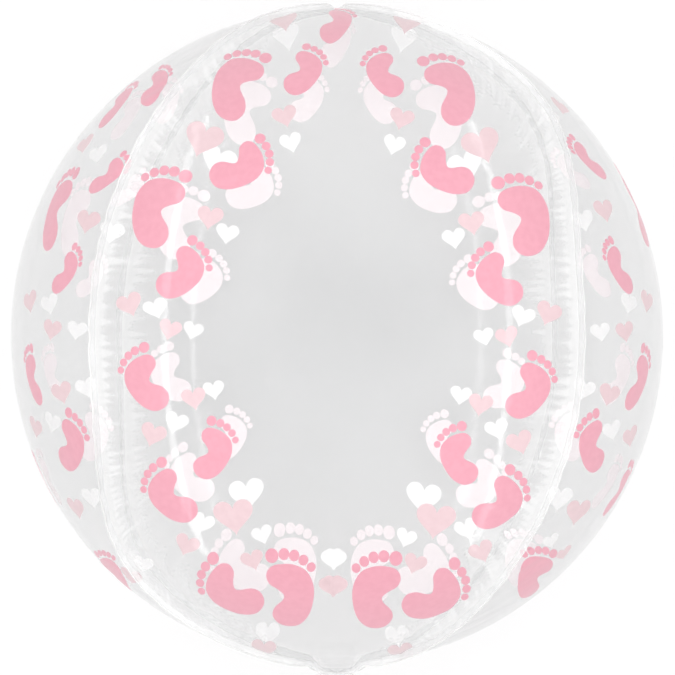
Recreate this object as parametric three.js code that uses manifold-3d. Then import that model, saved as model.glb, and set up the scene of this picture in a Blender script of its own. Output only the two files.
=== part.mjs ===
// A clear film globe balloon of four welded panels, lying on the middle of its back panel.
// Millimetres. +Z is up, out through the front panel. +Y runs to the crown, -Y to the filling tail.
// The origin is the middle of the small flat spot that the balloon rests on.
import * as THREE from "three";
import { mergeVertices } from "three/addons/utils/BufferGeometryUtils.js";
import Module from "manifold-3d";

// The globe
const GIRTH_DIAMETER = 388;
const POLE_LENGTH = 390;
const REST_SPOT_RADIUS = 26;

// The four seams: each stands at a quarter turn on the girth, and bows and twists towards the poles
const QUARTER = 45;
const SEAM_BOW = 5.5;
const SEAM_TWIST = 7.5;
const SEAM_SWING_PEAK = 0.74;

// The weld along a seam: two plies of film face to face, standing up out of a shallow valley
const WELD_HEIGHT = 5;
const PLY = 0.4;
const SEAM_GAP = 0.3;
const VALLEY_DEPTH = 2;
const VALLEY_REACH = 6;
const CROWN_WELD_RUN = 8;
const TAIL_WELD_RUN = 40;

// The puckers that the weld gathers into the film
const PUCKER_DEPTH = 1.3;
const PUCKER_REACH = 14;
const GIRTH_PUCKER_SHARE = 0.3;
const PUCKER_FULL_LATITUDE = 50;
const POLE_PUCKER_RUN = 60;

// The neck at the tail pole, and the flat filling tail that leaves it
const NECK_RISE = 6;
const NECK_TOP_RADIUS = 11;
const NECK_FOOT_RADIUS = 24;
const TAIL_LENGTH = 62;
const TAIL_WIDTH = 26;
const TAIL_THICKNESS = 1.6;
const TAIL_ROOT_WIDTH = 20;
const TAIL_ROOT_THICKNESS = 8;
const TAIL_FLARE = 24;
const TAIL_FLARE_STEPS = 6;

// How finely each panel is faceted: rows from pole to pole, and columns as shares of the half width
const ROWS = 54;
const HALF_COLUMNS = [0.27, 0.49, 0.67, 0.8, 0.9, 0.965, 1];
const REST_COLUMNS = [0.09, 0.18];

const GIRTH_RADIUS = GIRTH_DIAMETER / 2;
const POLE_RADIUS = POLE_LENGTH / 2;
const CENTRE_HEIGHT = Math.sqrt(GIRTH_RADIUS ** 2 - REST_SPOT_RADIUS ** 2);

const { degToRad, lerp, smoothstep } = THREE.MathUtils;

const FILM = { color: 0xe4e6e6, roughness: 0.08, metalness: 0, transparent: true, opacity: 0.25 };
const WELDED_FILM = { color: 0xf2f3f3, roughness: 0.2, metalness: 0, transparent: true, opacity: 0.5 };

// The distance of a latitude's ring from the pole axis.
function ringRadius(latitude) {
  return GIRTH_RADIUS * Math.cos(latitude);
}

// How far round the globe the front seam on one side (-1 left, 1 right) stands at a latitude.
// The front and back panels are fuller than a quarter towards the poles, and a little twisted.
function frontSeam(side, latitude) {
  const swing = (Math.sin(2 * latitude) ** 2 * Math.abs(Math.sin(latitude))) / SEAM_SWING_PEAK;
  const bow = side * (QUARTER + SEAM_BOW * swing);
  return degToRad(bow + SEAM_TWIST * swing * Math.sign(latitude));
}

function backSeam(side, latitude) {
  return Math.PI - frontSeam(side, latitude);
}

// Each panel runs from one seam to the next, with longitude counted from the front to the right.
// The balloon rests on the back panel.
const PANELS = [
  { name: "front_panel", facing: 0, from: (v) => frontSeam(-1, v), to: (v) => frontSeam(1, v) },
  { name: "right_panel", facing: 90, from: (v) => frontSeam(1, v), to: (v) => backSeam(1, v) },
  {
    name: "back_panel",
    facing: 180,
    rests: true,
    from: (v) => backSeam(1, v),
    to: (v) => backSeam(-1, v),
  },
  {
    name: "left_panel",
    facing: 270,
    from: (v) => backSeam(-1, v),
    to: (v) => 2 * Math.PI + frontSeam(-1, v),
  },
];

// A point of the smooth globe, lifted along its normal and shifted round its latitude's ring.
function globePoint(latitude, longitude, lift, shift) {
  const ring = ringRadius(latitude);
  const round = new THREE.Vector3(Math.sin(longitude), 0, Math.cos(longitude));
  const along = new THREE.Vector3(Math.cos(longitude), 0, -Math.sin(longitude));
  const pole = new THREE.Vector3(0, 1, 0);
  const normal = round
    .clone()
    .multiplyScalar(Math.cos(latitude) / GIRTH_RADIUS)
    .addScaledVector(pole, Math.sin(latitude) / POLE_RADIUS)
    .normalize();
  return round
    .multiplyScalar(ring)
    .addScaledVector(pole, POLE_RADIUS * Math.sin(latitude))
    .addScaledVector(normal, lift)
    .addScaledVector(along, shift);
}

// The film gathers into a short neck at the tail pole.
function neckLift(latitude) {
  if (latitude > 0) return 0;
  return NECK_RISE * (1 - smoothstep(ringRadius(latitude), NECK_TOP_RADIUS, NECK_FOOT_RADIUS));
}

// The height of the puckers at a weld: low on the girth, full towards the poles, none at the tips.
function puckerHeight(latitude) {
  const full = smoothstep(Math.abs(latitude), 0, degToRad(PUCKER_FULL_LATITUDE));
  const tip = smoothstep(ringRadius(latitude), 0, POLE_PUCKER_RUN);
  return PUCKER_DEPTH * lerp(GIRTH_PUCKER_SHARE, 1, full) * tip;
}

// The film's height over the smooth globe, at a distance from the nearest weld.
// Puckers stand up on even rows and fall in on odd ones.
function filmLift(latitude, row, toWeld) {
  const tip = smoothstep(ringRadius(latitude), 0, CROWN_WELD_RUN);
  const valley = VALLEY_DEPTH * tip * Math.exp(-((toWeld / VALLEY_REACH) ** 2));
  const ridge = row % 2 === 0 ? 1 : -1;
  const pucker = ridge * puckerHeight(latitude) * Math.exp(-toWeld / PUCKER_REACH);
  return neckLift(latitude) - valley + pucker;
}

// The top edge of the weld over the smooth globe. It runs out at the crown and at the neck.
function weldTop(latitude) {
  const run = latitude > 0 ? CROWN_WELD_RUN : TAIL_WELD_RUN;
  const standing = smoothstep(ringRadius(latitude), 0, run);
  return neckLift(latitude) + (WELD_HEIGHT - VALLEY_DEPTH) * standing;
}

// The column places across a panel, from -1 at one weld to 1 at the other.
function panelColumns(extra) {
  const half = [...extra, ...HALF_COLUMNS];
  return [...half.map((share) => -share).reverse(), 0, ...half];
}

// One row of a panel: the edge of its weld ply, the film, and the edge of its other weld ply.
function panelRow(panel, columns, row, latitude) {
  const ring = ringRadius(latitude);
  const [from, to] = [panel.from(latitude), panel.to(latitude)];
  const [inset, depth] = [SEAM_GAP / 2, SEAM_GAP / 2 + PLY];
  const middle = (from + to) / 2;
  const half = (to - from) / 2 - depth / ring;
  const top = weldTop(latitude);
  const film = columns.map((share) => {
    const toWeld = (1 - Math.abs(share)) * half * ring;
    return globePoint(latitude, middle + share * half, filmLift(latitude, row, toWeld), 0);
  });
  return [
    globePoint(latitude, from, top, inset),
    globePoint(latitude, from, top, depth),
    ...film,
    globePoint(latitude, to, top, -depth),
    globePoint(latitude, to, top, -inset),
  ];
}

function geometryOf(points, triangles) {
  const geometry = new THREE.BufferGeometry().setFromPoints(points);
  geometry.setIndex(triangles.flat());
  return geometry;
}

// A panel and the quarter of the sealed globe behind it, down to the pole axis.
function panelGeometry(panel, columns) {
  const facing = degToRad(panel.facing);
  const apex = new THREE.Vector3(Math.sin(facing), 0, Math.cos(facing)).multiplyScalar(
    SEAM_GAP * Math.SQRT1_2,
  );
  const tipAt = (y) => new THREE.Vector3(apex.x, y, apex.z);
  const crown = POLE_RADIUS + WELD_HEIGHT - VALLEY_DEPTH;
  const points = [apex, tipAt(-POLE_RADIUS - NECK_RISE), tipAt(crown)];
  const [CENTRE, TAIL_TIP, CROWN_TIP] = [0, 1, 2];
  const rows = [];
  for (let row = 1; row < ROWS; row += 1) {
    const latitude = Math.PI * (row / ROWS - 0.5);
    const rowPoints = panelRow(panel, columns, row, latitude);
    rows.push(rowPoints.map((point) => points.push(point) - 1));
  }
  const [first, last] = [rows[0], rows[rows.length - 1]];
  const edge = first.length - 1;
  const triangles = [
    [TAIL_TIP, first[0], CENTRE],
    [first[edge], TAIL_TIP, CENTRE],
    [last[0], CROWN_TIP, CENTRE],
    [CROWN_TIP, last[edge], CENTRE],
  ];
  for (let column = 0; column < edge; column += 1) {
    triangles.push([TAIL_TIP, first[column + 1], first[column]]);
    triangles.push([last[column], last[column + 1], CROWN_TIP]);
  }
  for (let row = 0; row + 1 < rows.length; row += 1) {
    const [low, high] = [rows[row], rows[row + 1]];
    triangles.push([low[0], high[0], CENTRE]);
    triangles.push([high[edge], low[edge], CENTRE]);
    for (let column = 0; column < edge; column += 1) {
      triangles.push([low[column], low[column + 1], high[column + 1]]);
      triangles.push([low[column], high[column + 1], high[column]]);
    }
  }
  return geometryOf(points, triangles);
}

// The tail: a doubled strip of film that leaves the neck as a gathered tube and soon lies flat.
function tailGeometry() {
  const root = -POLE_RADIUS - NECK_RISE - SEAM_GAP;
  const section = (run) => {
    const flat = smoothstep(run, 0, TAIL_FLARE);
    const half = lerp(TAIL_ROOT_WIDTH, TAIL_WIDTH, flat) / 2;
    const thick = lerp(TAIL_ROOT_THICKNESS, TAIL_THICKNESS, Math.sqrt(flat)) / 2;
    const bevel = thick / 2;
    const outline = [
      [half, -bevel],
      [half, bevel],
      [half - thick, thick],
      [thick - half, thick],
      [-half, bevel],
      [-half, -bevel],
      [thick - half, -thick],
      [half - thick, -thick],
    ];
    return outline.map(([x, z]) => new THREE.Vector3(x, root - run, z));
  };
  const runs = [];
  for (let step = 0; step <= TAIL_FLARE_STEPS; step += 1) {
    runs.push((TAIL_FLARE * step) / TAIL_FLARE_STEPS);
  }
  runs.push(TAIL_LENGTH);
  const rings = runs.map(section);
  const sides = rings[0].length;
  const triangles = [];
  for (let ring = 0; ring + 1 < rings.length; ring += 1) {
    for (let side = 0; side < sides; side += 1) {
      const next = (side + 1) % sides;
      const [a, b] = [ring * sides + side, ring * sides + next];
      const [c, d] = [a + sides, b + sides];
      triangles.push([a, b, d], [a, d, c]);
    }
  }
  const end = (rings.length - 1) * sides;
  for (let side = 1; side + 1 < sides; side += 1) {
    triangles.push([0, side + 1, side]);
    triangles.push([end, end + side, end + side + 1]);
  }
  return geometryOf(rings.flat(), triangles);
}

const wasm = await Module();
wasm.setup();

function solidOf(geometry) {
  return new wasm.Manifold(
    new wasm.Mesh({
      numProp: 3,
      vertProperties: geometry.getAttribute("position").array,
      triVerts: new Uint32Array(geometry.index.array),
    }),
  );
}

// A panel with the flat spot that the balloon rests on cut across its middle.
function cutRestSpot(geometry) {
  const side = 4 * REST_SPOT_RADIUS;
  const below = new THREE.BoxGeometry(side, side, side);
  below.deleteAttribute("normal");
  below.deleteAttribute("uv");
  below.translate(0, 0, -CENTRE_HEIGHT - side / 2);
  const mesh = solidOf(geometry).subtract(solidOf(mergeVertices(below))).getMesh();
  const cut = new THREE.BufferGeometry();
  cut.setAttribute("position", new THREE.BufferAttribute(mesh.vertProperties, 3));
  cut.setIndex(new THREE.BufferAttribute(mesh.triVerts, 1));
  return cut;
}

const balloon = new THREE.Group();
balloon.position.z = CENTRE_HEIGHT;

for (const panel of PANELS) {
  const whole = panelGeometry(panel, panelColumns(panel.rests ? REST_COLUMNS : []));
  const mesh = new THREE.Mesh(
    panel.rests ? cutRestSpot(whole) : whole,
    new THREE.MeshStandardMaterial(FILM),
  );
  mesh.name = panel.name;
  balloon.add(mesh);
}

const tail = new THREE.Mesh(tailGeometry(), new THREE.MeshStandardMaterial(WELDED_FILM));
tail.name = "filling_tail";
balloon.add(tail);

export default balloon;
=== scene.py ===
# A clear film globe balloon of four welded panels, printed with baby footprints and hearts.
# Metres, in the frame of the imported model: +Z up out of the front panel, +Y to the crown.
import math

import bpy
import numpy as np
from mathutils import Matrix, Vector
from mathutils.geometry import delaunay_2d_cdt


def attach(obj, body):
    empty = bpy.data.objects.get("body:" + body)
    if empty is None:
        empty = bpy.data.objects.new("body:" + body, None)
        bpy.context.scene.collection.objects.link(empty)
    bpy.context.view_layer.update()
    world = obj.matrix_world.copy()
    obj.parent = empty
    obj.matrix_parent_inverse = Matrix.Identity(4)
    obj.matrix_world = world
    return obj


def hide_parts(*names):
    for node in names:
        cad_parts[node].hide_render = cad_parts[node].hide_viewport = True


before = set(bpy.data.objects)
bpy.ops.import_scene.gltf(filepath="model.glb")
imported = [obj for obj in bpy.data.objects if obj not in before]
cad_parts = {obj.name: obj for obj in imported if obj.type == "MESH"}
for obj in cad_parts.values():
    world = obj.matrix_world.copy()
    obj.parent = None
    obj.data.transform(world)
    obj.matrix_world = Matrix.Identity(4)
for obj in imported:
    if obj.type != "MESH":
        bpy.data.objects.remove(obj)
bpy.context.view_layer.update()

# The globe, as the solids have it
GIRTH_RADIUS = 0.194
POLE_RADIUS = 0.195
REST_SPOT_RADIUS = 0.026
CENTRE_HEIGHT = math.sqrt(GIRTH_RADIUS**2 - REST_SPOT_RADIUS**2)
GLOBE_CENTRE = Vector((0, 0, CENTRE_HEIGHT))

# The four seams
QUARTER = 45
SEAM_BOW = 5.5
SEAM_TWIST = 7.5
SEAM_SWING_PEAK = 0.74

# The weld along a seam, standing up out of a shallow valley
WELD_HEIGHT = 0.005
LEAST_WELD = 0.0002
VALLEY_DEPTH = 0.002
VALLEY_REACH = 0.006
CROWN_WELD_RUN = 0.008
TAIL_WELD_RUN = 0.040
PLY_SPACING = 0.0002
WELD_WAVE = 0.0006
WELD_WAVE_PITCH = 0.021
QUICK_WAVE_RATE = 2.2
QUICK_WAVE_SHARE = 0.3
BEAD_RADIUS = 0.00045
BEAD_SIDES = 8

# The puckers gathered at a weld, from the longest to the finest: pitch, reach and height
PUCKERS = [(0.022, 0.026, 0.0012), (0.010, 0.015, 0.0008), (0.0048, 0.008, 0.00045)]
# The least and most of a pucker's width, height and length, as shares of the usual
PUCKER_WIDTHS = (0.6, 1.4)
PUCKER_HEIGHTS = (0.35, 1)
PUCKER_LENGTHS = (0.5, 1.5)
# Where puckers are fullest, and how they lean
GIRTH_PUCKER_SHARE = 0.3
PUCKER_FULL_LATITUDE = 50
POLE_PUCKER_RUN = 0.110
PUCKER_LEAN = 1.0
LEAN_FROM = 12
LEAN_FULL = 48

# Painted highlight: the film is whitened beside a weld and in streaks along its puckers, and a faint
# painted reflection whitens it towards the outline
SHEEN_REACH = 0.006
GIRTH_STREAK = 0.010
FULL_STREAK = 0.026
SHEEN_SLOT_FROM = 0.6
SIDE_SHEEN = 0.1
POLE_SHEEN = 0.25
OUTLINE_SHEEN = 0.22
OUTLINE_SHEEN_SPAN = (6, 42)

# The neck at the tail pole and the flat filling tail
NECK_RISE = 0.006
NECK_TOP_RADIUS = 0.011
NECK_FOOT_RADIUS = 0.024
TAIL_GAP = 0.0003
TAIL_LENGTH = 0.062
TAIL_WIDTH = 0.026
TAIL_THICKNESS = 0.0016
TAIL_ROOT_WIDTH = 0.020
TAIL_ROOT_THICKNESS = 0.008
TAIL_FLARE = 0.024
TAIL_SIDES = 96
TAIL_STEPS = 62
TAIL_ROUNDNESS = 0.7
TAIL_PLEATS = 4
TAIL_WELD = 0.003
TAIL_WAVE = 0.0005
TAIL_WAVE_PITCH = 0.045
VALVE_WIDTH = 0.014
VALVE_GROOVE = 0.0007
# Shares of the tail's thickness: how deep a pleat is, what a welded edge keeps, how deep a groove is
PLEAT_SHARE = 0.22
WELDED_EDGE_SHARE = 0.25
GROOVE_SHARE = 0.6

# The film's mesh
FILM_THICKNESS = 0.00012
FILM_ROWS = 470
FILM_HALF_COLUMNS = 28
COLUMN_CROWDING = 3.3
WELD_COLUMNS = 4
POLE_OPENING = 0.0006
LEAST_LENGTH = 1e-12
# The sheen slot is film whitened as a painted highlight beside the welds
CLEAR_SLOT, WELDED_SLOT, SHEEN_SLOT = 0, 1, 2

# The print: how long a foot and a heart are where PRINT_STEP is their mesh's true step, and the ink
FOOT_LENGTH = 0.047
HEART_LENGTH = 0.028
INK_LIFT = 0.00014
INK_THICKNESS = 0.00004
INK_EDGE_ANGLE = 40
INK_MERGE = 0.000002
PRINT_STEP = 0.0019
PRINT_ROW_SPACING = 0.87
OUTLINE_MERGE = 1e-6
# The ray that finds the film under the ink: its start in radii, and its length
RAY_START = 1.15
RAY_LENGTH = 0.08

# The photograph's frame: the globe's middle and half width in it, and its viewing distance in radii
PHOTO_SIZE = 675
PHOTO_CENTRE = (337, 336)
PHOTO_HALF_WIDTH = 326
VIEW_DISTANCE = 12
SENSOR = 36
CLIP_END = 50
FOCAL_PIXELS = PHOTO_HALF_WIDTH * math.sqrt(VIEW_DISTANCE**2 - 1)

# The floor, the overhead light and the arched strip lights at both sides
FLOOR_REACH = 6
FLOOR_DROP = 0.0005
OVERHEAD_HEIGHT = 4.5
OVERHEAD_SIZE = 5
OVERHEAD_POWER = 184
STRIP_MERIDIAN = 28.8
STRIP_LATITUDE = 38
STRIP_STEPS = 24
STRIP_DISTANCE = 1.6
STRIP_WIDTH = 0.06
STRIP_STRENGTH = 7


def smoothstep(value, low, high):
    share = np.clip((value - low) / (high - low), 0, 1)
    return share * share * (3 - 2 * share)


def blend(low, high, share):
    return low + (high - low) * share


# Seams and film surface


def ring_radius(latitude):
    return GIRTH_RADIUS * np.cos(latitude)


def front_seam(side, latitude):
    swing = np.sin(2 * latitude) ** 2 * np.abs(np.sin(latitude)) / SEAM_SWING_PEAK
    bow = side * (QUARTER + SEAM_BOW * swing)
    return np.radians(bow + SEAM_TWIST * swing * np.sign(latitude))


def back_seam(side, latitude):
    return np.pi - front_seam(side, latitude)


# Longitude runs from the front to the right. The number is the seam's own seed.
SEAMS = {
    "front_left": (11, lambda latitude: front_seam(-1, latitude)),
    "front_right": (12, lambda latitude: front_seam(1, latitude)),
    "back_right": (13, lambda latitude: back_seam(1, latitude)),
    "back_left": (14, lambda latitude: back_seam(-1, latitude)),
}

# Each panel's two seams, and the whole turns that its second seam is ahead
PANELS = {
    "front": ("front_left", "front_right", 0),
    "right": ("front_right", "back_right", 0),
    "back": ("back_right", "back_left", 0),
    "left": ("back_left", "front_left", 1),
}


def globe_point(latitude, longitude, lift, shift):
    """Points of the globe, lifted along the normal and shifted round the latitude's ring."""
    ring = ring_radius(latitude) + lift * np.cos(latitude)
    x = ring * np.sin(longitude) + shift * np.cos(longitude)
    y = (POLE_RADIUS + lift) * np.sin(latitude)
    z = ring * np.cos(longitude) - shift * np.sin(longitude) + CENTRE_HEIGHT
    return np.stack(np.broadcast_arrays(x, y, z), axis=-1)


def neck_lift(latitude):
    neck = 1 - smoothstep(ring_radius(latitude), NECK_TOP_RADIUS, NECK_FOOT_RADIUS)
    return np.where(latitude < 0, NECK_RISE * neck, 0)


def pucker_strength(latitude):
    full = smoothstep(np.abs(latitude), 0, math.radians(PUCKER_FULL_LATITUDE))
    tip = smoothstep(ring_radius(latitude), 0, POLE_PUCKER_RUN)
    return blend(GIRTH_PUCKER_SHARE, 1, full) * tip


def pucker_row(seed, order, along):
    """One row of bulges of uneven width, with sharp creases between: height and length shares."""
    seam_length = math.pi * POLE_RADIUS
    rng = np.random.default_rng([seed, order])
    count = round(seam_length / PUCKERS[order][0])
    widths = rng.uniform(*PUCKER_WIDTHS, count)
    creases = np.concatenate([[0], np.cumsum(widths)]) * seam_length / widths.sum()
    bulge = np.clip(np.searchsorted(creases, along, side="right") - 1, 0, count - 1)
    share = (along - creases[bulge]) / (creases[bulge + 1] - creases[bulge])
    tall = rng.uniform(*PUCKER_HEIGHTS, count)[bulge]
    long = rng.uniform(*PUCKER_LENGTHS, count)[bulge]
    return tall * np.abs(np.sin(np.pi * share)), long


def pucker_lift(seed, along, to_weld):
    """The height of the film's puckers at a distance from the weld that gathers them."""
    lift = 0
    for order, (_, reach, height) in enumerate(PUCKERS):
        bulge, long = pucker_row(seed, order, along)
        lift = lift + height * bulge * np.exp(-to_weld / (long * reach))
    return lift


def weld_top(latitude):
    run = np.where(latitude > 0, CROWN_WELD_RUN, TAIL_WELD_RUN)
    standing = smoothstep(ring_radius(latitude), 0, run)
    return neck_lift(latitude) + (WELD_HEIGHT - VALLEY_DEPTH) * standing


def along_weld(latitude, to_weld):
    """The place on a weld that a pucker comes from: off the girth, puckers lean towards the girth."""
    leaning = smoothstep(np.abs(latitude), math.radians(LEAN_FROM), math.radians(LEAN_FULL))
    return GIRTH_RADIUS * (latitude + np.pi / 2) + PUCKER_LEAN * leaning * np.sign(latitude) * to_weld


def film_lift(latitude, seam_seed, to_weld):
    """What one weld does to the film beside it: the valley it stands in, and its puckers."""
    along = along_weld(latitude, to_weld)
    tip = smoothstep(ring_radius(latitude), 0, CROWN_WELD_RUN)
    valley = VALLEY_DEPTH * tip * np.exp(-((to_weld / VALLEY_REACH) ** 2))
    return pucker_lift(seam_seed, along, to_weld) * pucker_strength(latitude) - valley


def weld_wave(latitude, seam_seed):
    """The weld's own sideways waver."""
    turn = 2 * np.pi * GIRTH_RADIUS * (latitude + np.pi / 2) / WELD_WAVE_PITCH
    slow = np.sin(turn + seam_seed)
    quick = np.sin(QUICK_WAVE_RATE * turn + 2 * seam_seed)
    standing = smoothstep(ring_radius(latitude), 0, TAIL_WELD_RUN)
    return WELD_WAVE * blend(slow, quick, QUICK_WAVE_SHARE) * standing


def film_rows():
    last = math.acos(POLE_OPENING / GIRTH_RADIUS)
    return np.linspace(-last, last, FILM_ROWS + 1)


def film_columns():
    """Places across a panel from -1 to 1, crowded towards the welds."""
    steps = np.linspace(0, 1, FILM_HALF_COLUMNS + 1)
    inward = np.expm1(COLUMN_CROWDING * steps) / math.expm1(COLUMN_CROWDING)
    half = 1 - inward
    return np.concatenate([-half, half[-2::-1]])


def panel_span(panel, latitude):
    first, second, turns = PANELS[panel]
    return SEAMS[first][1](latitude), SEAMS[second][1](latitude) + 2 * np.pi * turns


def film_grid(panel):
    """The middle of the film of one panel, from weld to weld, as rows of points."""
    latitude = film_rows()[:, None]
    start, end = panel_span(panel, latitude)
    share = film_columns()[None, :]
    half = (end - start) / 2
    longitude = (start + end) / 2 + share * half
    width = half * ring_radius(latitude)
    first, second, _ = PANELS[panel]
    lift = film_lift(latitude, SEAMS[first][0], (1 + share) * width)
    lift = lift + film_lift(latitude, SEAMS[second][0], (1 - share) * width)
    return globe_point(latitude, longitude, lift + neck_lift(latitude), 0)


def film_sheen_mask(panel):
    """How much painted sheen the film of one panel gets, from 0 in the clear to 1 at a weld: a painted
    highlight beside the welds and a faint painted reflection towards the outline.
    """
    latitude = film_rows()[:, None]
    start, end = panel_span(panel, latitude)
    share = film_columns()[None, :]
    width = (end - start) / 2 * ring_radius(latitude)
    longitude = (start + end) / 2 + share * (end - start) / 2
    aside = np.degrees(np.arccos(np.abs(np.cos(latitude) * np.cos(longitude))))
    # A faint painted reflection, lighter the further the film turns from the front or back axis
    sheen_mask = OUTLINE_SHEEN * smoothstep(aside, *OUTLINE_SHEEN_SPAN)
    spread = 1 if panel in ("front", "back") else SIDE_SHEEN
    spread = spread * blend(POLE_SHEEN, 1, smoothstep(ring_radius(latitude), 0, POLE_PUCKER_RUN))
    # A painted highlight beside each weld, drawn out in streaks along the finest puckers
    for seam, to_weld in zip(PANELS[panel], ((1 + share) * width, (1 - share) * width)):
        fine, long = pucker_row(SEAMS[seam][0], len(PUCKERS) - 1, along_weld(latitude, to_weld))
        streak = blend(GIRTH_STREAK, FULL_STREAK, pucker_strength(latitude)) * fine * long
        sheen_mask = sheen_mask + np.exp(-((to_weld / spread / (SHEEN_REACH + streak)) ** 2))
    return np.clip(sheen_mask, 0, 1)


def weld_grid(panel, edge):
    """The panel's ply of one weld, from the film's edge up to the weld's top."""
    latitude = film_rows()[:, None]
    seam = PANELS[panel][edge]
    side = 1 if edge == 0 else -1
    longitude = panel_span(panel, latitude)[edge]
    foot = film_lift(latitude, SEAMS[seam][0], 0) + neck_lift(latitude)
    top = np.maximum(weld_top(latitude), foot + LEAST_WELD)
    share = np.linspace(0, 1, WELD_COLUMNS + 1)[None, :]
    shift = weld_wave(latitude, SEAMS[seam][0]) * share + side * PLY_SPACING / 2
    return globe_point(latitude, longitude, blend(foot, top, share), shift)


# Meshes


def new_piece(name, data):
    piece = bpy.data.objects.new(name, data)
    bpy.context.scene.collection.objects.link(piece)
    return piece


def smooth_mesh(name, points, faces):
    mesh = bpy.data.meshes.new(name)
    mesh.from_pydata(points, [], faces)
    mesh.shade_smooth()
    return mesh


def grid_faces(rows, columns):
    """Quads over a grid of points, facing where rows cross columns."""
    corner = np.arange(rows * columns).reshape(rows, columns)
    quads = [corner[:-1, :-1], corner[:-1, 1:], corner[1:, 1:], corner[1:, :-1]]
    return np.stack(quads, axis=-1).reshape(-1, 4)


def grid_normals(grid):
    across = np.gradient(grid, axis=1)
    along = np.gradient(grid, axis=0)
    normal = np.cross(across, along)
    length = np.linalg.norm(normal, axis=-1, keepdims=True)
    return normal / np.maximum(length, LEAST_LENGTH)


def shell_mesh(name, grid, thickness):
    """A closed sheet of film of that thickness about a grid of points."""
    rows, columns, _ = grid.shape
    half = grid_normals(grid) * thickness / 2
    count = rows * columns
    points = np.concatenate([(grid + half).reshape(-1, 3), (grid - half).reshape(-1, 3)])
    outer = grid_faces(rows, columns)
    inner = outer[:, ::-1] + count
    corner = np.arange(count).reshape(rows, columns)
    loop = np.concatenate([corner[0, :-1], corner[:-1, -1], corner[-1, :0:-1], corner[:0:-1, 0]])
    ahead = np.roll(loop, -1)
    rim = np.stack([ahead, loop, loop + count, ahead + count], axis=-1)
    points[:, 2] = np.maximum(points[:, 2], 0)
    return smooth_mesh(name, points.tolist(), np.concatenate([outer, inner, rim]).tolist())


def film_panel(panel, finishes):
    """One panel with its ply of each weld, in clear and welded film, and in film whitened with a painted
    highlight beside the welds.
    """
    grid = film_grid(panel)
    first = weld_grid(panel, 0)[:, :0:-1]
    second = weld_grid(panel, 1)[:, 1:]
    sheet = np.concatenate([first, grid, second], axis=1)
    sheet[..., 2] = np.maximum(sheet[..., 2], FILM_THICKNESS / 2)
    mesh = shell_mesh(f"{panel}_film", sheet, FILM_THICKNESS)
    for finish in finishes:
        mesh.materials.append(finish)
    # The painted sheen mask, full on the weld plies, goes to the film's shader
    sheen_mask = mesh.attributes.new("sheen_mask", "FLOAT", "POINT")
    edge = np.ones((FILM_ROWS + 1, WELD_COLUMNS))
    gathered = film_sheen_mask(panel)
    sheened = np.concatenate([edge, gathered, edge], axis=1).ravel()
    sheen_mask.data.foreach_set("value", np.concatenate([sheened, sheened]))
    rows, columns, _ = sheet.shape
    # Faces where the painted highlight is strong take the sheen film
    slots = np.full((rows - 1, columns - 1), WELDED_SLOT)
    corners = (gathered[:-1, :-1] + gathered[:-1, 1:] + gathered[1:, :-1] + gathered[1:, 1:]) / 4
    slots[:, WELD_COLUMNS:-WELD_COLUMNS] = np.where(corners > SHEEN_SLOT_FROM, SHEEN_SLOT, CLEAR_SLOT)
    rim = np.full(len(mesh.polygons) - 2 * slots.size, WELDED_SLOT)
    mesh.polygons.foreach_set("material_index", np.concatenate([slots.ravel(), slots.ravel(), rim]))
    return new_piece(f"{panel}_film", mesh)


def film_guide():
    """The whole film surface as one sheet, which the print is laid on."""
    points = []
    faces = []
    for panel in PANELS:
        grid = film_grid(panel)
        grid[..., 2] = np.maximum(grid[..., 2], FILM_THICKNESS / 2)
        faces.append(grid_faces(*grid.shape[:2]) + sum(len(part) for part in points))
        points.append(grid.reshape(-1, 3))
    mesh = smooth_mesh("film_guide", np.concatenate(points).tolist(), np.concatenate(faces).tolist())
    return new_piece("film_guide", mesh)


# Print motifs, flat, one unit long, with +Y towards the toes or the heart's lobes
FOOT_HALF_WIDTH = 0.32
FOOT_HALF_LENGTH = 0.52
HEART_OUTLINE = 3.2
HEART_RISE = 0.1


def closed_curve(knots, step):
    """A smooth closed outline through a few knots, as points about a step apart."""
    knots = np.array(knots, dtype=float)
    before, after, later = (np.roll(knots, shift, axis=0) for shift in (1, -1, -2))
    points = []
    for p0, p1, p2, p3 in zip(before, knots, after, later):
        count = max(2, round(np.linalg.norm(p2 - p1) / step))
        for t in np.arange(count) / count:
            bend = 2 * p0 - 5 * p1 + 4 * p2 - p3
            twist = 3 * (p1 - p2) + p3 - p0
            points.append(p1 + 0.5 * t * ((p2 - p0) + t * (bend + t * twist)))
    return np.array(points)


def circle(centre, radius, step):
    count = max(12, round(2 * math.pi * radius / step))
    angle = 2 * math.pi * np.arange(count) / count
    return np.array(centre) + radius * np.stack([np.cos(angle), np.sin(angle)], axis=-1)


def foot_outlines(step):
    """A baby's footprint: the sole, with the arch on the big toe's side, and five toes."""
    sole = [
        (-0.02, 0.836), (-0.17, 0.775), (-0.265, 0.62), (-0.28, 0.42), (-0.235, 0.20), (-0.13, 0.045),
        (0.00, 0.00), (0.12, 0.03), (0.20, 0.14), (0.185, 0.27), (0.085, 0.40), (0.08, 0.47),
        (0.16, 0.53), (0.265, 0.585), (0.31, 0.69), (0.26, 0.79), (0.13, 0.835),
    ]
    toes = [
        ((0.262, 0.912), 0.082), ((0.118, 0.945), 0.067), ((-0.006, 0.938), 0.064),
        ((-0.122, 0.895), 0.061), ((-0.222, 0.822), 0.055),
    ]
    outlines = [closed_curve(sole, step)] + [circle(centre, radius, step) for centre, radius in toes]
    return [outline - (0, 0.5) for outline in outlines]


def heart_outlines(step):
    count = round(HEART_OUTLINE / step)
    angle = 2 * np.pi * (np.arange(count) + 0.5) / count
    x = np.sin(angle) ** 3
    y = (13 * np.cos(angle) - 5 * np.cos(2 * angle) - 2 * np.cos(3 * angle) - np.cos(4 * angle)) / 16
    return [np.stack([x, y + HEART_RISE], axis=-1)[::-1] / 2]


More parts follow.
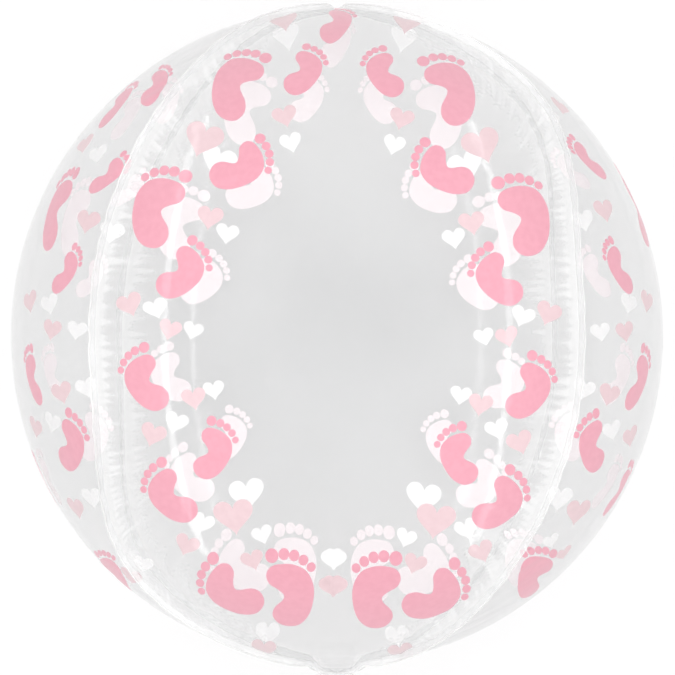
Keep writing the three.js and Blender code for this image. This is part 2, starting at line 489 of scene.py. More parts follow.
def motif_mesh(name, outlines, step, ink):
    """A flat mesh of even triangles inside the outlines, facing +Z."""
    points = []
    rings = []
    for outline in outlines:
        rings.append(list(range(len(points), len(points) + len(outline))))
        points.extend(Vector(point) for point in outline)
    low = np.min([outline.min(axis=0) for outline in outlines], axis=0)
    high = np.max([outline.max(axis=0) for outline in outlines], axis=0)
    for row, y in enumerate(np.arange(low[1], high[1], step * PRINT_ROW_SPACING)):
        for x in np.arange(low[0] + step / 2 * (row % 2), high[0], step):
            if clear_of_outlines(x, y, outlines, step / 2):
                points.append(Vector((x, y)))
    corners, _, faces, _, _, sources = delaunay_2d_cdt(points, [], rings, 0, OUTLINE_MERGE)
    inside = [face for face, source in zip(faces, sources) if source]
    mesh = bpy.data.meshes.new(name)
    mesh.from_pydata([(x, y, 0) for x, y in corners], [], inside)
    mesh.materials.append(ink)
    flat = mesh.attributes.new("flat", "FLOAT_VECTOR", "POINT")
    flat.data.foreach_set("vector", [value for x, y in corners for value in (x, y, 0)])
    return new_piece(name, mesh)


def clear_of_outlines(x, y, outlines, margin):
    return all(np.hypot(outline[:, 0] - x, outline[:, 1] - y).min() > margin for outline in outlines)


def mirrored(outlines):
    return [(outline * (-1, 1))[::-1] for outline in outlines]


# Where the print is, read off the photograph in pixels
# Footprints as big toe, little toe and heel: the front's left half, near the poles, and both sides
FRONT_FEET = [
    ((265, 55), (226, 53), (228, 113)),
    ((306, 44), (326, 62), (292, 90)),
    ((259, 140), (269, 168), (216, 178)),
    ((185, 176), (143, 175), (150, 240)),
    ((191, 242), (210, 266), (163, 290)),
    ((144, 349), (119, 369), (159, 404)),
    ((212, 422), (235, 439), (202, 474)),
    ((162, 465), (142, 488), (189, 515)),
    ((214, 561), (200, 590), (256, 606)),
    ((273, 557), (310, 566), (288, 626)),
]
POLE_FEET = [
    ((336, 4), (356, 10), (327, 39)),
    ((160, 60), (170, 78), (147, 103)),
    ((97, 548), (119, 558), (122, 594)),
    ((551, 551), (526, 556), (530, 598)),
]
SIDE_FEET = [
    ((122, 148), (126, 177), (92, 188)),
    ((77, 178), (55, 178), (48, 243)),
    ((73, 243), (82, 268), (54, 288)),
    ((36, 345), (19, 363), (39, 400)),
    ((72, 417), (84, 434), (63, 465)),
    ((124, 88), (136, 80), (105, 125)),
    ((38, 456), (27, 462), (50, 505)),
    ((576, 131), (569, 159), (604, 174)),
    ((618, 170), (640, 180), (641, 241)),
    ((614, 237), (602, 261), (631, 288)),
    ((640, 347), (656, 367), (629, 404)),
    ((594, 416), (579, 433), (599, 467)),
    ((625, 463), (636, 474), (606, 511)),
]
# Hearts as middle, width in millimetres and turn in degrees: the front's left half, and both sides
FRONT_HEARTS = [
    ((284, 22), 17, 12),
    ((203, 140), 24, -20),
    ((285, 117), 15, 15),
    ((210, 218), 16, -10),
    ((130, 305), 16, 20),
    ((170, 330), 14, -15),
    ((194, 399), 15, 10),
    ((153, 435), 16, -18),
    ((234, 517), 24, 8),
    ((187, 545), 15, -22),
    ((253, 560), 14, 18),
    ((264, 647), 15, -8),
    ((332, 586), 15, 12),
]
SIDE_HEARTS = [
    ((85, 145), 15, 10),
    ((88, 222), 16, -12),
    ((30, 302), 15, 14),
    ((52, 330), 14, -10),
    ((62, 393), 15, 16),
    ((36, 428), 15, -14),
    ((77, 508), 16, 9),
    ((132, 576), 15, -16),
    ((560, 108), 15, -10),
    ((604, 211), 16, 12),
    ((647, 302), 15, -14),
    ((625, 332), 14, 10),
    ((609, 395), 15, -16),
    ((630, 437), 15, 14),
    ((577, 512), 19, -9),
    ((563, 553), 12, 16),
]
# The line that the print's right half mirrors its left half about
PRINT_AXIS_TOP = (344, 80)
PRINT_AXIS_FOOT = (333, 600)

# The measures of the foot's own outline that the three read points stand for
TOES_MIDDLE = Vector((0.02, 0.867))
HEEL_END = Vector((0.0, 0.09))
# How far a print near the outline may be drawn out against its foreshortening
FRONT_STRETCH = 2.0
SIDE_STRETCH = 2.8
POLE_STRETCH = 3.2
HEART_STRETCH = 1.6
# How wide such a footprint may be for its length, against an ordinary one
POLE_FOOT_SPREAD = 1.2
SIDE_FOOT_SPREAD = 0.88


def seen_point(pixel):
    """The point on the front of the globe that the photograph shows at a pixel."""
    x = pixel[0] - PHOTO_CENTRE[0]
    y = PHOTO_CENTRE[1] - pixel[1]
    ray = Vector((x, y, -FOCAL_PIXELS))
    half = VIEW_DISTANCE * FOCAL_PIXELS
    reach = half * half - ray.length_squared * (VIEW_DISTANCE**2 - 1)
    near = (half - math.sqrt(max(reach, 0))) / ray.length_squared
    point = Vector((0, 0, VIEW_DISTANCE)) + ray * near
    return point.normalized()


def across_axis(pixel):
    top = Vector(PRINT_AXIS_TOP)
    axis = (Vector(PRINT_AXIS_FOOT) - top).normalized()
    offset = Vector(pixel) - top
    return top + 2 * axis * offset.dot(axis) - offset


def to_back(point):
    return Vector((point.x, point.y, -point.z))


def laid_on_globe(pixel, across, along, stretch_limit):
    """The middle of a motif on the globe, and its two pixel axes as lengths along the film."""
    middle = seen_point(pixel)
    out = Vector((middle.x, middle.y)).normalized()
    steep = math.sqrt(1 - middle.z**2)
    radial = Vector((out.x * middle.z, out.y * middle.z, -steep)) * min(1 / middle.z, stretch_limit)
    round_about = Vector((-out.y, out.x, 0))
    scale = (VIEW_DISTANCE - middle.z) * GIRTH_RADIUS / FOCAL_PIXELS

    def laid(axis):
        return scale * (radial * axis.dot(out) + round_about * axis.dot(Vector((-out.y, out.x))))

    return middle, laid(across), laid(along)


def upward(pixel):
    """A pixel offset with +Y up, as the globe has it."""
    return Vector((pixel[0], -pixel[1]))


def foot_place(big_toe, little_toe, heel, stretch_limit):
    """The motif of a footprint with these three pixels, its middle on the globe, and its axes."""
    foot = (Vector(big_toe) + Vector(little_toe)) / 2 - Vector(heel)
    lean = TOES_MIDDLE - HEEL_END
    size = foot.length / lean.length
    ahead = upward(foot).normalized()
    across_toes = upward(Vector(big_toe) - Vector(little_toe))
    side = 1 if across_toes.cross(ahead) > 0 else -1
    angle = math.atan2(ahead.y, ahead.x) - math.atan2(lean.y, side * lean.x)
    across = Vector((math.cos(angle), math.sin(angle))) * size
    along = Vector((-math.sin(angle), math.cos(angle))) * size
    middle = Vector(heel) + upward(along) * (0.5 - HEEL_END.y)
    return ("foot" if side > 0 else "foot_mirrored", *laid_on_globe(middle, across, along, stretch_limit))


def no_longer_than(vector, length):
    return vector * min(1, length / vector.length)


def pole_foot_place(big_toe, little_toe, heel):
    motif, middle, across, along = foot_place(big_toe, little_toe, heel, POLE_STRETCH)
    return (motif, middle, no_longer_than(across, POLE_FOOT_SPREAD * along.length), along)


def side_foot_place(big_toe, little_toe, heel):
    """A footprint at a side, drawn most of the way back to its own shape."""
    motif, middle, across, along = foot_place(big_toe, little_toe, heel, SIDE_STRETCH)
    across = (across + 2 * along.cross(middle)) / 3
    return (motif, middle, no_longer_than(across, SIDE_FOOT_SPREAD * along.length), along)


def heart_place(pixel, width, turn, stretch_limit):
    angle = math.radians(turn)
    size = width / 1000 / GIRTH_RADIUS * FOCAL_PIXELS / VIEW_DISTANCE
    across = Vector((math.cos(angle), math.sin(angle))) * size
    along = Vector((-math.sin(angle), math.cos(angle))) * size
    return ("heart", *laid_on_globe(pixel, across, along, stretch_limit))


def on_back(place):
    """The same place on the far side of the globe, seen from the same end."""
    motif, *vectors = place
    other = {"foot": "foot_mirrored", "foot_mirrored": "foot"}.get(motif, motif)
    middle, across, along = (to_back(vector) for vector in vectors)
    return (other, middle, -across, along)


def clears_girth(place):
    """Whether a motif stays on the front half, so that its copy on the back doesn't touch it."""
    _, middle, across, along = place
    return middle.z * GIRTH_RADIUS > abs(across.z) * FOOT_HALF_WIDTH + abs(along.z) * FOOT_HALF_LENGTH


def print_places():
    """Every motif of the print, as footprints and hearts, on the front and mirrored to the back."""
    feet = []
    hearts = []
    for reflect in (Vector, across_axis):
        side = 1 if reflect is Vector else -1
        for pixels in FRONT_FEET:
            feet.append(foot_place(*(reflect(pixel) for pixel in pixels), FRONT_STRETCH))
        for pixel, width, turn in FRONT_HEARTS:
            hearts.append(heart_place(reflect(pixel), width, side * turn, POLE_STRETCH))
    feet.extend(pole_foot_place(*pixels) for pixels in POLE_FEET)
    feet.extend(side_foot_place(*pixels) for pixels in SIDE_FEET)
    hearts.extend(heart_place(*heart, HEART_STRETCH) for heart in SIDE_HEARTS)
    back_feet = [on_back(place) for place in feet if clears_girth(place)]
    back_hearts = [on_back(place) for place in hearts if clears_girth(place)]
    return feet + back_feet, hearts + back_hearts


def panel_at(direction):
    """The name of the panel that a direction from the globe's middle passes through."""
    latitude = math.asin(direction.y)
    longitude = math.atan2(direction.x, direction.z)
    for panel in PANELS:
        start, end = panel_span(panel, latitude)
        if (longitude - start) % (2 * math.pi) < end - start:
            return panel
    return "front"


# Geometry Nodes


def new_tree(name, inputs):
    """A tree with a geometry in and out and these named inputs. Returns it with its end nodes."""
    tree = bpy.data.node_groups.new(name, "GeometryNodeTree")
    tree.interface.new_socket("Geometry", in_out="INPUT", socket_type="NodeSocketGeometry")
    for label, kind in inputs.items():
        tree.interface.new_socket(label, in_out="INPUT", socket_type=kind)
    tree.interface.new_socket("Geometry", in_out="OUTPUT", socket_type="NodeSocketGeometry")
    return tree, tree.nodes.new("NodeGroupInput"), tree.nodes.new("NodeGroupOutput")


def feed(tree, fed, sources):
    """Links a node's inputs, by name or number, to outputs, or sets them to values."""
    for label, source in sources.items():
        socket = fed.inputs[label]
        if isinstance(source, bpy.types.NodeSocket):
            tree.links.new(source, socket)
        else:
            socket.default_value = source


def node(tree, kind, sources=None, **settings):
    """A new node of a tree, with its settings and its inputs fed."""
    made = tree.nodes.new(kind)
    for setting, value in settings.items():
        setattr(made, setting, value)
    feed(tree, made, sources or {})
    return made


def scaled(tree, vector, scale):
    product = node(tree, "ShaderNodeVectorMath", {0: vector, "Scale": scale}, operation="SCALE")
    return product.outputs["Vector"]


def added(tree, first, second):
    total = node(tree, "ShaderNodeVectorMath", {0: first, 1: second}, operation="ADD")
    return total.outputs["Vector"]


def carried(tree, label):
    """A vector that the points of a mesh carry."""
    attribute = node(tree, "GeometryNodeInputNamedAttribute", {"Name": label}, data_type="FLOAT_VECTOR")
    return attribute.outputs["Attribute"]


def made_by_tree(name, mesh, tree, values):
    """The plain mesh that a tree makes from a mesh, with the tree's named inputs set."""
    source = new_piece(f"{name}_source", mesh)
    modifier = source.modifiers.new(tree.name, "NODES")
    modifier.node_group = tree
    for item in tree.interface.items_tree:
        if item.item_type == "SOCKET" and item.in_out == "INPUT" and item.name in values:
            modifier[item.identifier] = values[item.name]
    bpy.context.view_layer.update()
    shown = source.evaluated_get(bpy.context.evaluated_depsgraph_get())
    result = bpy.data.meshes.new_from_object(shown)
    bpy.data.objects.remove(source)
    result.name = name
    return result


def bead_tree():
    """A round bead along a path."""
    tree, start, end = new_tree("weld_bead", {
        "Bead radius": "NodeSocketFloat",
        "Bead sides": "NodeSocketInt",
        "Bead finish": "NodeSocketMaterial",
    })
    path = node(tree, "GeometryNodeMeshToCurve", {"Mesh": start.outputs["Geometry"]})
    profile = node(tree, "GeometryNodeCurvePrimitiveCircle", {
        "Resolution": start.outputs["Bead sides"],
        "Radius": start.outputs["Bead radius"],
    })
    bead = node(tree, "GeometryNodeCurveToMesh", {
        "Curve": path.outputs["Curve"],
        "Profile Curve": profile.outputs["Curve"],
        "Fill Caps": True,
    })
    smooth = node(tree, "GeometryNodeSetShadeSmooth", {"Geometry": bead.outputs["Mesh"]})
    whole = node(tree, "GeometryNodeRealizeInstances", {"Geometry": smooth.outputs["Geometry"]})
    finish = node(tree, "GeometryNodeSetMaterial", {
        "Geometry": whole.outputs["Geometry"],
        "Material": start.outputs["Bead finish"],
    })
    tree.links.new(finish.outputs["Geometry"], end.inputs["Geometry"])
    return tree


def print_tree():
    """A flat motif on every point, laid on the film and given the ink's thickness."""
    tree, start, end = new_tree("film_print", {
        "Film": "NodeSocketObject",
        "Motif": "NodeSocketObject",
        "Globe centre": "NodeSocketVector",
        "Ink lift": "NodeSocketFloat",
        "Ink thickness": "NodeSocketFloat",
        "Ink": "NodeSocketMaterial",
        "Ink back": "NodeSocketMaterial",
    })
    film = node(tree, "GeometryNodeObjectInfo", {"Object": start.outputs["Film"]})
    motif = node(tree, "GeometryNodeObjectInfo", {"Object": start.outputs["Motif"]})
    placed = node(tree, "GeometryNodeInstanceOnPoints", {
        "Points": start.outputs["Geometry"],
        "Instance": motif.outputs["Geometry"],
    })
    flat = node(tree, "GeometryNodeRealizeInstances", {"Geometry": placed.outputs["Instances"]})
    middle, across, along, local = (carried(tree, label) for label in ("middle", "across", "along", "flat"))
    centre = start.outputs["Globe centre"]
    parts = node(tree, "ShaderNodeSeparateXYZ", {"Vector": local})
    sideways = scaled(tree, across, parts.outputs["X"])
    lengthways = scaled(tree, along, parts.outputs["Y"])
    spread = added(tree, middle, added(tree, sideways, lengthways))
    spoke = added(tree, spread, scaled(tree, centre, -1.0))
    drop = node(tree, "GeometryNodeRaycast", {
        "Target Geometry": film.outputs["Geometry"],
        "Source Position": added(tree, scaled(tree, spoke, RAY_START), centre),
        "Ray Direction": scaled(tree, spoke, -1.0),
        "Ray Length": RAY_LENGTH,
    })
    raised = scaled(tree, drop.outputs["Hit Normal"], start.outputs["Ink lift"])
    laid = node(tree, "GeometryNodeSetPosition", {
        "Geometry": flat.outputs["Geometry"],
        "Selection": drop.outputs["Is Hit"],
        "Position": added(tree, drop.outputs["Hit Position"], raised),
    })
    front = node(tree, "GeometryNodeExtrudeMesh", {
        "Mesh": laid.outputs["Geometry"],
        "Offset Scale": start.outputs["Ink thickness"],
        "Individual": False,
    })
    inked = node(tree, "GeometryNodeSetMaterial", {
        "Geometry": front.outputs["Mesh"],
        "Material": start.outputs["Ink"],
    })
    back = node(tree, "GeometryNodeFlipFaces", {"Mesh": laid.outputs["Geometry"]})
    backed = node(tree, "GeometryNodeSetMaterial", {
        "Geometry": back.outputs["Mesh"],
        "Material": start.outputs["Ink back"],
    })
    both = node(tree, "GeometryNodeJoinGeometry")
    tree.links.new(inked.outputs["Geometry"], both.inputs["Geometry"])
    tree.links.new(backed.outputs["Geometry"], both.inputs["Geometry"])
    closed = node(tree, "GeometryNodeMergeByDistance", {
        "Geometry": both.outputs["Geometry"],
        "Distance": INK_MERGE,
    })
    tree.links.new(closed.outputs["Geometry"], end.inputs["Geometry"])
    return tree


# Materials
SWELL_SCALE = 14
CREASE_SCALE = 160
CREASE_SHARE = 0.12
RELIEF_DEPTH = 0.002
MOTTLE_SCALE = 240
INK_COAT_ROUGHNESS = 0.08
TONE_SPAN = (0.35, 0.65)
WHITE = (1, 1, 1)
# The numbers of the two colours and the result of a Mix node
MIX_FIRST, MIX_SECOND, MIX_RESULT = 6, 7, 2


def new_material(name):
    material = bpy.data.materials.new(name)
    material.use_nodes = True
    return material, material.node_tree, material.node_tree.nodes["Principled BSDF"]


def wrinkle_group():
    """Fine creases and soft swells of film, as a height, and the swells alone, as a cloud."""
    group = bpy.data.node_groups.new("film_wrinkles", "ShaderNodeTree")
    group.interface.new_socket("Vector", in_out="INPUT", socket_type="NodeSocketVector")
    group.interface.new_socket("Swell scale", in_out="INPUT", socket_type="NodeSocketFloat")
    group.interface.new_socket("Crease scale", in_out="INPUT", socket_type="NodeSocketFloat")
    group.interface.new_socket("Height", in_out="OUTPUT", socket_type="NodeSocketFloat")
    group.interface.new_socket("Cloud", in_out="OUTPUT", socket_type="NodeSocketFloat")
    start = group.nodes.new("NodeGroupInput")
    end = group.nodes.new("NodeGroupOutput")
    swell = node(group, "ShaderNodeTexNoise", {
        "Vector": start.outputs["Vector"],
        "Scale": start.outputs["Swell scale"],
        "Detail": 0.0,
    })
    crease = node(group, "ShaderNodeTexNoise", {
        "Vector": start.outputs["Vector"],
        "Scale": start.outputs["Crease scale"],
        "Detail": 1.0,
    })
    cloud = swell.outputs["Fac"]
    fine = node(group, "ShaderNodeMath", {0: crease.outputs["Fac"], 1: CREASE_SHARE}, operation="MULTIPLY")
    height = node(group, "ShaderNodeMath", {0: cloud, 1: fine.outputs["Value"]}, operation="ADD")
    feed(group, end, {"Height": height.outputs["Value"], "Cloud": cloud})
    return group


def two_tones(tree, mask, low, high):
    """A colour that runs from one tone to another with a mask."""
    ramp = node(tree, "ShaderNodeValToRGB", {"Fac": mask})
    for element, position, tone in zip(ramp.color_ramp.elements, TONE_SPAN, (low, high)):
        element.position = position
        element.color = (*tone, 1)
    return ramp.outputs["Color"]


def uneven_roughness(tree, mask, roughness):
    """A roughness that runs from its least to its most with a mask."""
    least, most = roughness
    rough = node(tree, "ShaderNodeMapRange", {"Value": mask, "To Min": least, "To Max": most})
    return rough.outputs["Result"]


def film_material(name, tones, alpha, roughness, ior, bump, gathered=None, painted_glow=0):
    """Clear film: a thin grey veil with a bright gloss, mixed towards a given colour by the painted sheen
    mask, and with a painted glow as emission.
    """
    material, tree, shader = new_material(name)
    place = node(tree, "ShaderNodeTexCoord")
    surface = node(tree, "ShaderNodeGroup", node_tree=wrinkles)
    feed(tree, surface, {
        "Vector": place.outputs["Object"],
        "Swell scale": SWELL_SCALE,
        "Crease scale": CREASE_SCALE,
    })
    cloud = surface.outputs["Cloud"]
    colour = two_tones(tree, cloud, *tones)
    # A painted highlight: the colour runs to the given one where the sheen mask is high
    if gathered:
        sheen_mask = node(tree, "ShaderNodeAttribute", attribute_name="sheen_mask")
        sheened = node(tree, "ShaderNodeMix", data_type="RGBA")
        feed(tree, sheened, {
            "Factor": sheen_mask.outputs["Fac"],
            MIX_FIRST: colour,
            MIX_SECOND: (*gathered, 1),
        })
        colour = sheened.outputs[MIX_RESULT]
    relief = node(tree, "ShaderNodeBump", {
        "Height": surface.outputs["Height"],
        "Strength": bump,
        "Distance": RELIEF_DEPTH,
    })
    # The emission is painted light: a glow standing in for light scattered in the film
    feed(tree, shader, {
        "Base Color": colour,
        "Emission Color": colour,
        "Emission Strength": painted_glow,
        "Roughness": uneven_roughness(tree, cloud, roughness),
        "Normal": relief.outputs["Normal"],
        "Alpha": alpha,
        "IOR": ior,
    })
    return material


def ink_material(name, tones, roughness, coat, painted_glow=0):
    """Ink on film: an even colour with a faint mottle, under the film's gloss, and a painted glow as
    emission where asked.
    """
    material, tree, shader = new_material(name)
    place = node(tree, "ShaderNodeTexCoord")
    mottle = node(tree, "ShaderNodeTexNoise", {"Vector": place.outputs["Object"], "Scale": MOTTLE_SCALE})
    colour = two_tones(tree, mottle.outputs["Fac"], *tones)
    # The emission is painted light, standing in for light coming through the thin ink
    feed(tree, shader, {
        "Base Color": colour,
        "Emission Color": colour,
        "Emission Strength": painted_glow,
        "Roughness": uneven_roughness(tree, mottle.outputs["Fac"], roughness),
        "Coat Weight": coat,
        "Coat Roughness": INK_COAT_ROUGHNESS,
    })
    return material


wrinkles = wrinkle_group()
# The clear film runs to white where the sheen mask paints a highlight or a reflection
clear_film = film_material(
    "clear_film", ((0.35, 0.36, 0.37), (0.43, 0.44, 0.45)),
    alpha=0.12, roughness=(0.05, 0.12), ior=2.2, bump=0.15, gathered=WHITE,
)
# The whitish weld film is real. Its small emission is a painted glow standing in for light scattered in the
# weld, lifting slopes out of shade
welded_film = film_material(
    "welded_film", ((0.92, 0.92, 0.92), WHITE),
    alpha=0.25, roughness=(0.2, 0.35), ior=1.8, bump=0.3, painted_glow=0.05,
)
# Film beside the welds: whiter, more opaque and glowing, a painted highlight standing in for the bright
# reflection along the welds
sheen_film = film_material(
    "sheen_film", ((0.45, 0.46, 0.47), (0.55, 0.56, 0.57)),
    alpha=0.27, roughness=(0.06, 0.14), ior=2.2, bump=0.15, gathered=WHITE, painted_glow=0.1,
)
tail_finish = film_material(
    "tail_film", ((0.8, 0.8, 0.81), (0.9, 0.9, 0.9)),
    alpha=0.3, roughness=(0.12, 0.25), ior=1.8, bump=0.4,
)
# The bead is whitish weld film, and its emission is a painted glow standing in for light scattered in it
bead_film = film_material(
    "bead_film", ((0.9, 0.9, 0.9), WHITE),
    alpha=0.5, roughness=(0.2, 0.3), ior=1.6, bump=0.1, painted_glow=0.1,
)
pink_ink = ink_material(
    "pink_ink", ((0.88, 0.39, 0.48), (0.91, 0.42, 0.51)), roughness=(0.35, 0.5), coat=0.3,
)
pale_pink_ink = ink_material(
    "pale_pink_ink", ((0.85, 0.63, 0.66), (0.88, 0.66, 0.69)), roughness=(0.35, 0.5), coat=0.3,
)
# The ink's back is pale, and its emission is a painted glow standing in for light coming through the thin
# ink from behind
pink_back = ink_material(
    "pink_ink_back", ((0.96, 0.87, 0.89), (0.98, 0.90, 0.92)), roughness=(0.4, 0.55), coat=0.2, painted_glow=0.4,
)
pale_back = ink_material(
    "pale_ink_back", ((0.96, 0.95, 0.95), (0.99, 0.98, 0.98)), roughness=(0.4, 0.55), coat=0.2, painted_glow=0.45,
)


# Pieces


def finished(piece, slot, *nodes):
    """A finished piece of the balloon: clear film and print throw no shade on the floor."""
    piece.visible_shadow = False
    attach(piece, "root")
    if nodes:
        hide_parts(*nodes)
    return piece


# Film panels
film_finishes = (clear_film, welded_film, sheen_film)
for panel in PANELS:
    finished(film_panel(panel, film_finishes), "clear_film", f"{panel}_panel")


# Weld beads


def seam_path(seam):
    """The line along the top of a weld, as a mesh of edges."""
    latitude = film_rows()[::2]
    seed, longitude = SEAMS[seam]
    wave = weld_wave(latitude, seed)
    points = globe_point(latitude, longitude(latitude), weld_top(latitude), wave)
    mesh = bpy.data.meshes.new(f"{seam}_path")
    mesh.from_pydata(points.tolist(), [(step, step + 1) for step in range(len(points) - 1)], [])
    return mesh


beads = bead_tree()
for seam in SEAMS:
    mesh = made_by_tree(f"{seam}_weld_bead", seam_path(seam), beads, {
        "Bead radius": BEAD_RADIUS,
        "Bead sides": BEAD_SIDES,
        "Bead finish": bead_film,
    })
    finished(new_piece(f"{seam}_weld_bead", mesh), "welded_film")


# Filling tail


def tail_section(run):
    """One ring of the tail: gathered at the neck, then flat, with welded edges and a valve channel."""
    flat = smoothstep(run, 0, TAIL_FLARE)
    half = blend(TAIL_ROOT_WIDTH, TAIL_WIDTH, flat) / 2
    thick = blend(TAIL_ROOT_THICKNESS, TAIL_THICKNESS, math.sqrt(flat)) / 2
    turn = 2 * np.pi * np.arange(TAIL_SIDES) / TAIL_SIDES
    x = half * np.cos(turn)
    bulge = np.sign(np.sin(turn)) * np.abs(np.sin(turn)) ** TAIL_ROUNDNESS
    pleats = 1 - PLEAT_SHARE * (1 - flat) * np.cos(TAIL_PLEATS * np.pi * x / half) ** 2
    edge = smoothstep(half - np.abs(x), 0, TAIL_WELD)
    groove = np.exp(-(((np.abs(x) - VALVE_WIDTH / 2) / VALVE_GROOVE) ** 2))
    pressed = blend(WELDED_EDGE_SHARE, 1, edge) * (1 - GROOVE_SHARE * groove)
    z = thick * bulge * pleats * blend(1, pressed, flat)
    wave = TAIL_WAVE * np.sin(2 * np.pi * run / TAIL_WAVE_PITCH) * flat
    y = np.full(TAIL_SIDES, -POLE_RADIUS - NECK_RISE - TAIL_GAP - run)
    return np.stack([x, y, z + wave + CENTRE_HEIGHT], axis=-1)


def filling_tail(finish):
    rings = [tail_section(run) for run in np.linspace(0, TAIL_LENGTH, TAIL_STEPS + 1)]
    points = np.concatenate([*rings, [rings[0].mean(axis=0)], [rings[-1].mean(axis=0)]])
    root, tip = len(points) - 2, len(points) - 1
    side = np.arange(TAIL_SIDES)
    ahead = np.roll(side, -1)
    faces = []
    for step in range(TAIL_STEPS):
        base = step * TAIL_SIDES
        quads = [base + side, base + ahead, base + TAIL_SIDES + ahead, base + TAIL_SIDES + side]
        faces.extend(np.stack(quads, axis=-1).tolist())
    last = TAIL_STEPS * TAIL_SIDES
    pairs = list(zip(side.tolist(), ahead.tolist()))
    faces.extend([root, second, first] for first, second in pairs)
    faces.extend([tip, last + first, last + second] for first, second in pairs)
    mesh = smooth_mesh("tail_film", points.tolist(), faces)
    mesh.materials.append(finish)
    return new_piece("tail_film", mesh)


finished(filling_tail(tail_finish), "welded_film", "filling_tail")


# Printed footprints and hearts


def points_mesh(name, places):
    """Points on the globe that carry each motif's middle and its two axes along the film."""
    middles = [GLOBE_CENTRE + middle * GIRTH_RADIUS for _, middle, _, _ in places]
    mesh = bpy.data.meshes.new(name)
    mesh.from_pydata(middles, [], [])
    columns = {
        "middle": middles,
        "across": [across for _, _, across, _ in places],
        "along": [along for _, _, _, along in places],
    }
    for label, vectors in columns.items():
        attribute = mesh.attributes.new(label, "FLOAT_VECTOR", "POINT")
        attribute.data.foreach_set("vector", [value for vector in vectors for value in vector])
    return mesh


def joined_mesh(name, meshes):
    if len(meshes) == 1:
        return meshes[0]
    parts = [new_piece(f"{name}_{index}", mesh) for index, mesh in enumerate(meshes)]
    with bpy.context.temp_override(active_object=parts[0], selected_editable_objects=parts):
        bpy.ops.object.join()
    mesh = parts[0].data
    bpy.data.objects.remove(parts[0])
    mesh.name = name
    return mesh


foot_step = PRINT_STEP / FOOT_LENGTH
heart_step = PRINT_STEP / HEART_LENGTH
MOTIFS = {
    "foot": motif_mesh("foot", foot_outlines(foot_step), foot_step, pink_ink),
    "foot_mirrored": motif_mesh("foot_mirrored", mirrored(foot_outlines(foot_step)), foot_step, pink_ink),
    "heart": motif_mesh("heart", heart_outlines(heart_step), heart_step, pale_pink_ink),
}
guide = film_guide()
printing = print_tree()


def print_piece(name, places, ink, back, slot):
    meshes = []
    for motif, shape in MOTIFS.items():
        chosen = [place for place in places if place[0] == motif]
        if chosen:
            meshes.append(made_by_tree(f"{name}_{motif}", points_mesh(name, chosen), printing, {
                "Film": guide,
                "Motif": shape,
                "Globe centre": GLOBE_CENTRE,
                "Ink lift": INK_LIFT,
                "Ink thickness": INK_THICKNESS,
                "Ink": ink,
                "Ink back": back,
            }))
    mesh = joined_mesh(name, meshes)
    mesh.shade_smooth()
    mesh.set_sharp_from_angle(angle=math.radians(INK_EDGE_ANGLE))
    return finished(new_piece(name, mesh), slot)


feet, hearts = print_places()
for panel in PANELS:
    panel_feet = [place for place in feet if panel_at(place[1].normalized()) == panel]
    panel_hearts = [place for place in hearts if panel_at(place[1].normalized()) == panel]
    print_piece(f"{panel}_footprints", panel_feet, pink_ink, pink_back, "pink_ink")
    print_piece(f"{panel}_hearts", panel_hearts, pale_pink_ink, pale_back, "pale_pink_ink")

for helper in [guide, *MOTIFS.values()]:
    bpy.data.objects.remove(helper)


# Camera, floor and light


def add_camera():
    data = bpy.data.cameras.new("camera")
    data.sensor_width = SENSOR
    data.lens = SENSOR * FOCAL_PIXELS / PHOTO_SIZE
    data.clip_end = CLIP_END
    camera = new_piece("camera", data)
    scale = VIEW_DISTANCE * GIRTH_RADIUS / FOCAL_PIXELS
    aside = (PHOTO_SIZE / 2 - PHOTO_CENTRE[0]) * scale
    down = (PHOTO_CENTRE[1] - PHOTO_SIZE / 2) * scale
    camera.location = (aside, down, CENTRE_HEIGHT + VIEW_DISTANCE * GIRTH_RADIUS)
    bpy.context.scene.camera = camera


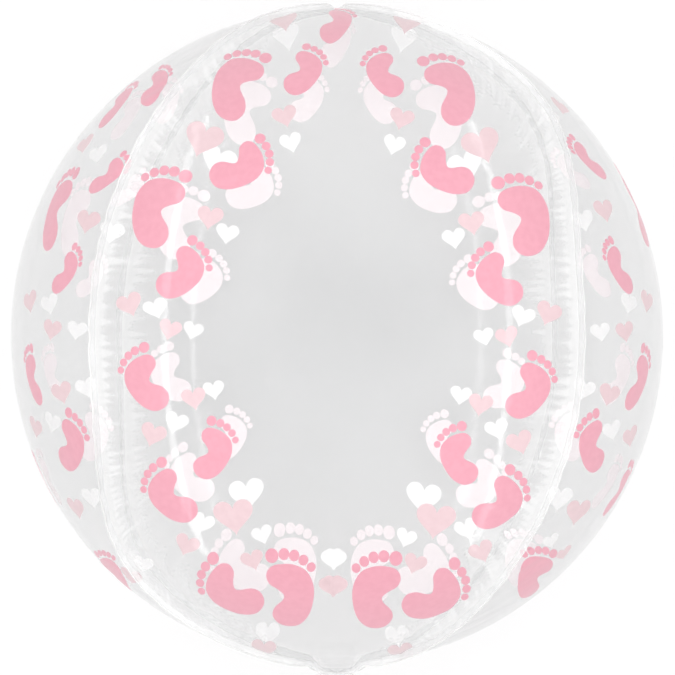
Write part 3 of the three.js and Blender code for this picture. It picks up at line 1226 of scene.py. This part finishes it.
def add_floor():
    mesh = bpy.data.meshes.new("floor")
    signs = [(-1, -1), (1, -1), (1, 1), (-1, 1)]
    corners = [(x * FLOOR_REACH, y * FLOOR_REACH, -FLOOR_DROP) for x, y in signs]
    mesh.from_pydata(corners, [], [(0, 1, 2, 3)])
    material, tree, shader = new_material("pale_floor")
    feed(tree, shader, {"Base Color": (0.93, 0.93, 0.93, 1), "Roughness": 0.9, "Specular IOR Level": 0})
    mesh.materials.append(material)
    new_piece("floor", mesh)


def add_overhead_light():
    data = bpy.data.lights.new("overhead", "AREA")
    data.size = OVERHEAD_SIZE
    data.energy = OVERHEAD_POWER
    light = new_piece("overhead", data)
    light.location = (0, 0, OVERHEAD_HEIGHT)
    light.visible_camera = False
    light.visible_glossy = False


def add_lights():
    world = bpy.data.worlds.new("studio")
    world.use_nodes = True
    world.node_tree.nodes["Background"].inputs["Color"].default_value = (0.5, 0.5, 0.5, 1)
    bpy.context.scene.world = world
    add_overhead_light()
    for side in (-1, 1):
        arched_strip(side)


def arched_strip(side):
    """A ribbon of light whose reflection runs along a meridian of the globe."""
    turn = side * math.radians(STRIP_MERIDIAN)
    left = []
    right = []
    for latitude in np.radians(np.linspace(-STRIP_LATITUDE, STRIP_LATITUDE, STRIP_STEPS + 1)):
        flat = math.cos(latitude)
        normal = Vector((math.sin(turn) * flat, math.sin(latitude), math.cos(turn) * flat))
        direction = 2 * normal.z * normal - Vector((0, 0, 1))
        across = Vector((math.cos(turn), 0, -math.sin(turn)))
        across = (across - direction * across.dot(direction)).normalized()
        middle = GLOBE_CENTRE + direction * STRIP_DISTANCE
        left.append(middle - across * STRIP_WIDTH / 2)
        right.append(middle + across * STRIP_WIDTH / 2)
    count = len(left)
    faces = [(step, step + 1, count + step + 1, count + step) for step in range(count - 1)]
    mesh = bpy.data.meshes.new("strip_light")
    mesh.from_pydata(left + right, [], faces)
    material, tree, shader = new_material("strip_light")
    feed(tree, shader, {
        "Base Color": (0, 0, 0, 1),
        "Emission Color": (*WHITE, 1),
        "Emission Strength": STRIP_STRENGTH,
    })
    mesh.materials.append(material)
    strip = new_piece(f"strip_light_{side}", mesh)
    strip.visible_camera = False
    strip.visible_diffuse = False
    strip.visible_shadow = False


add_camera()
add_floor()
add_lights()
bpy.context.scene.view_settings.view_transform = "Standard"
cycles = bpy.context.scene.cycles
cycles.transparent_max_bounces = 32
cycles.max_bounces = 3
cycles.diffuse_bounces = 1
cycles.glossy_bounces = 1
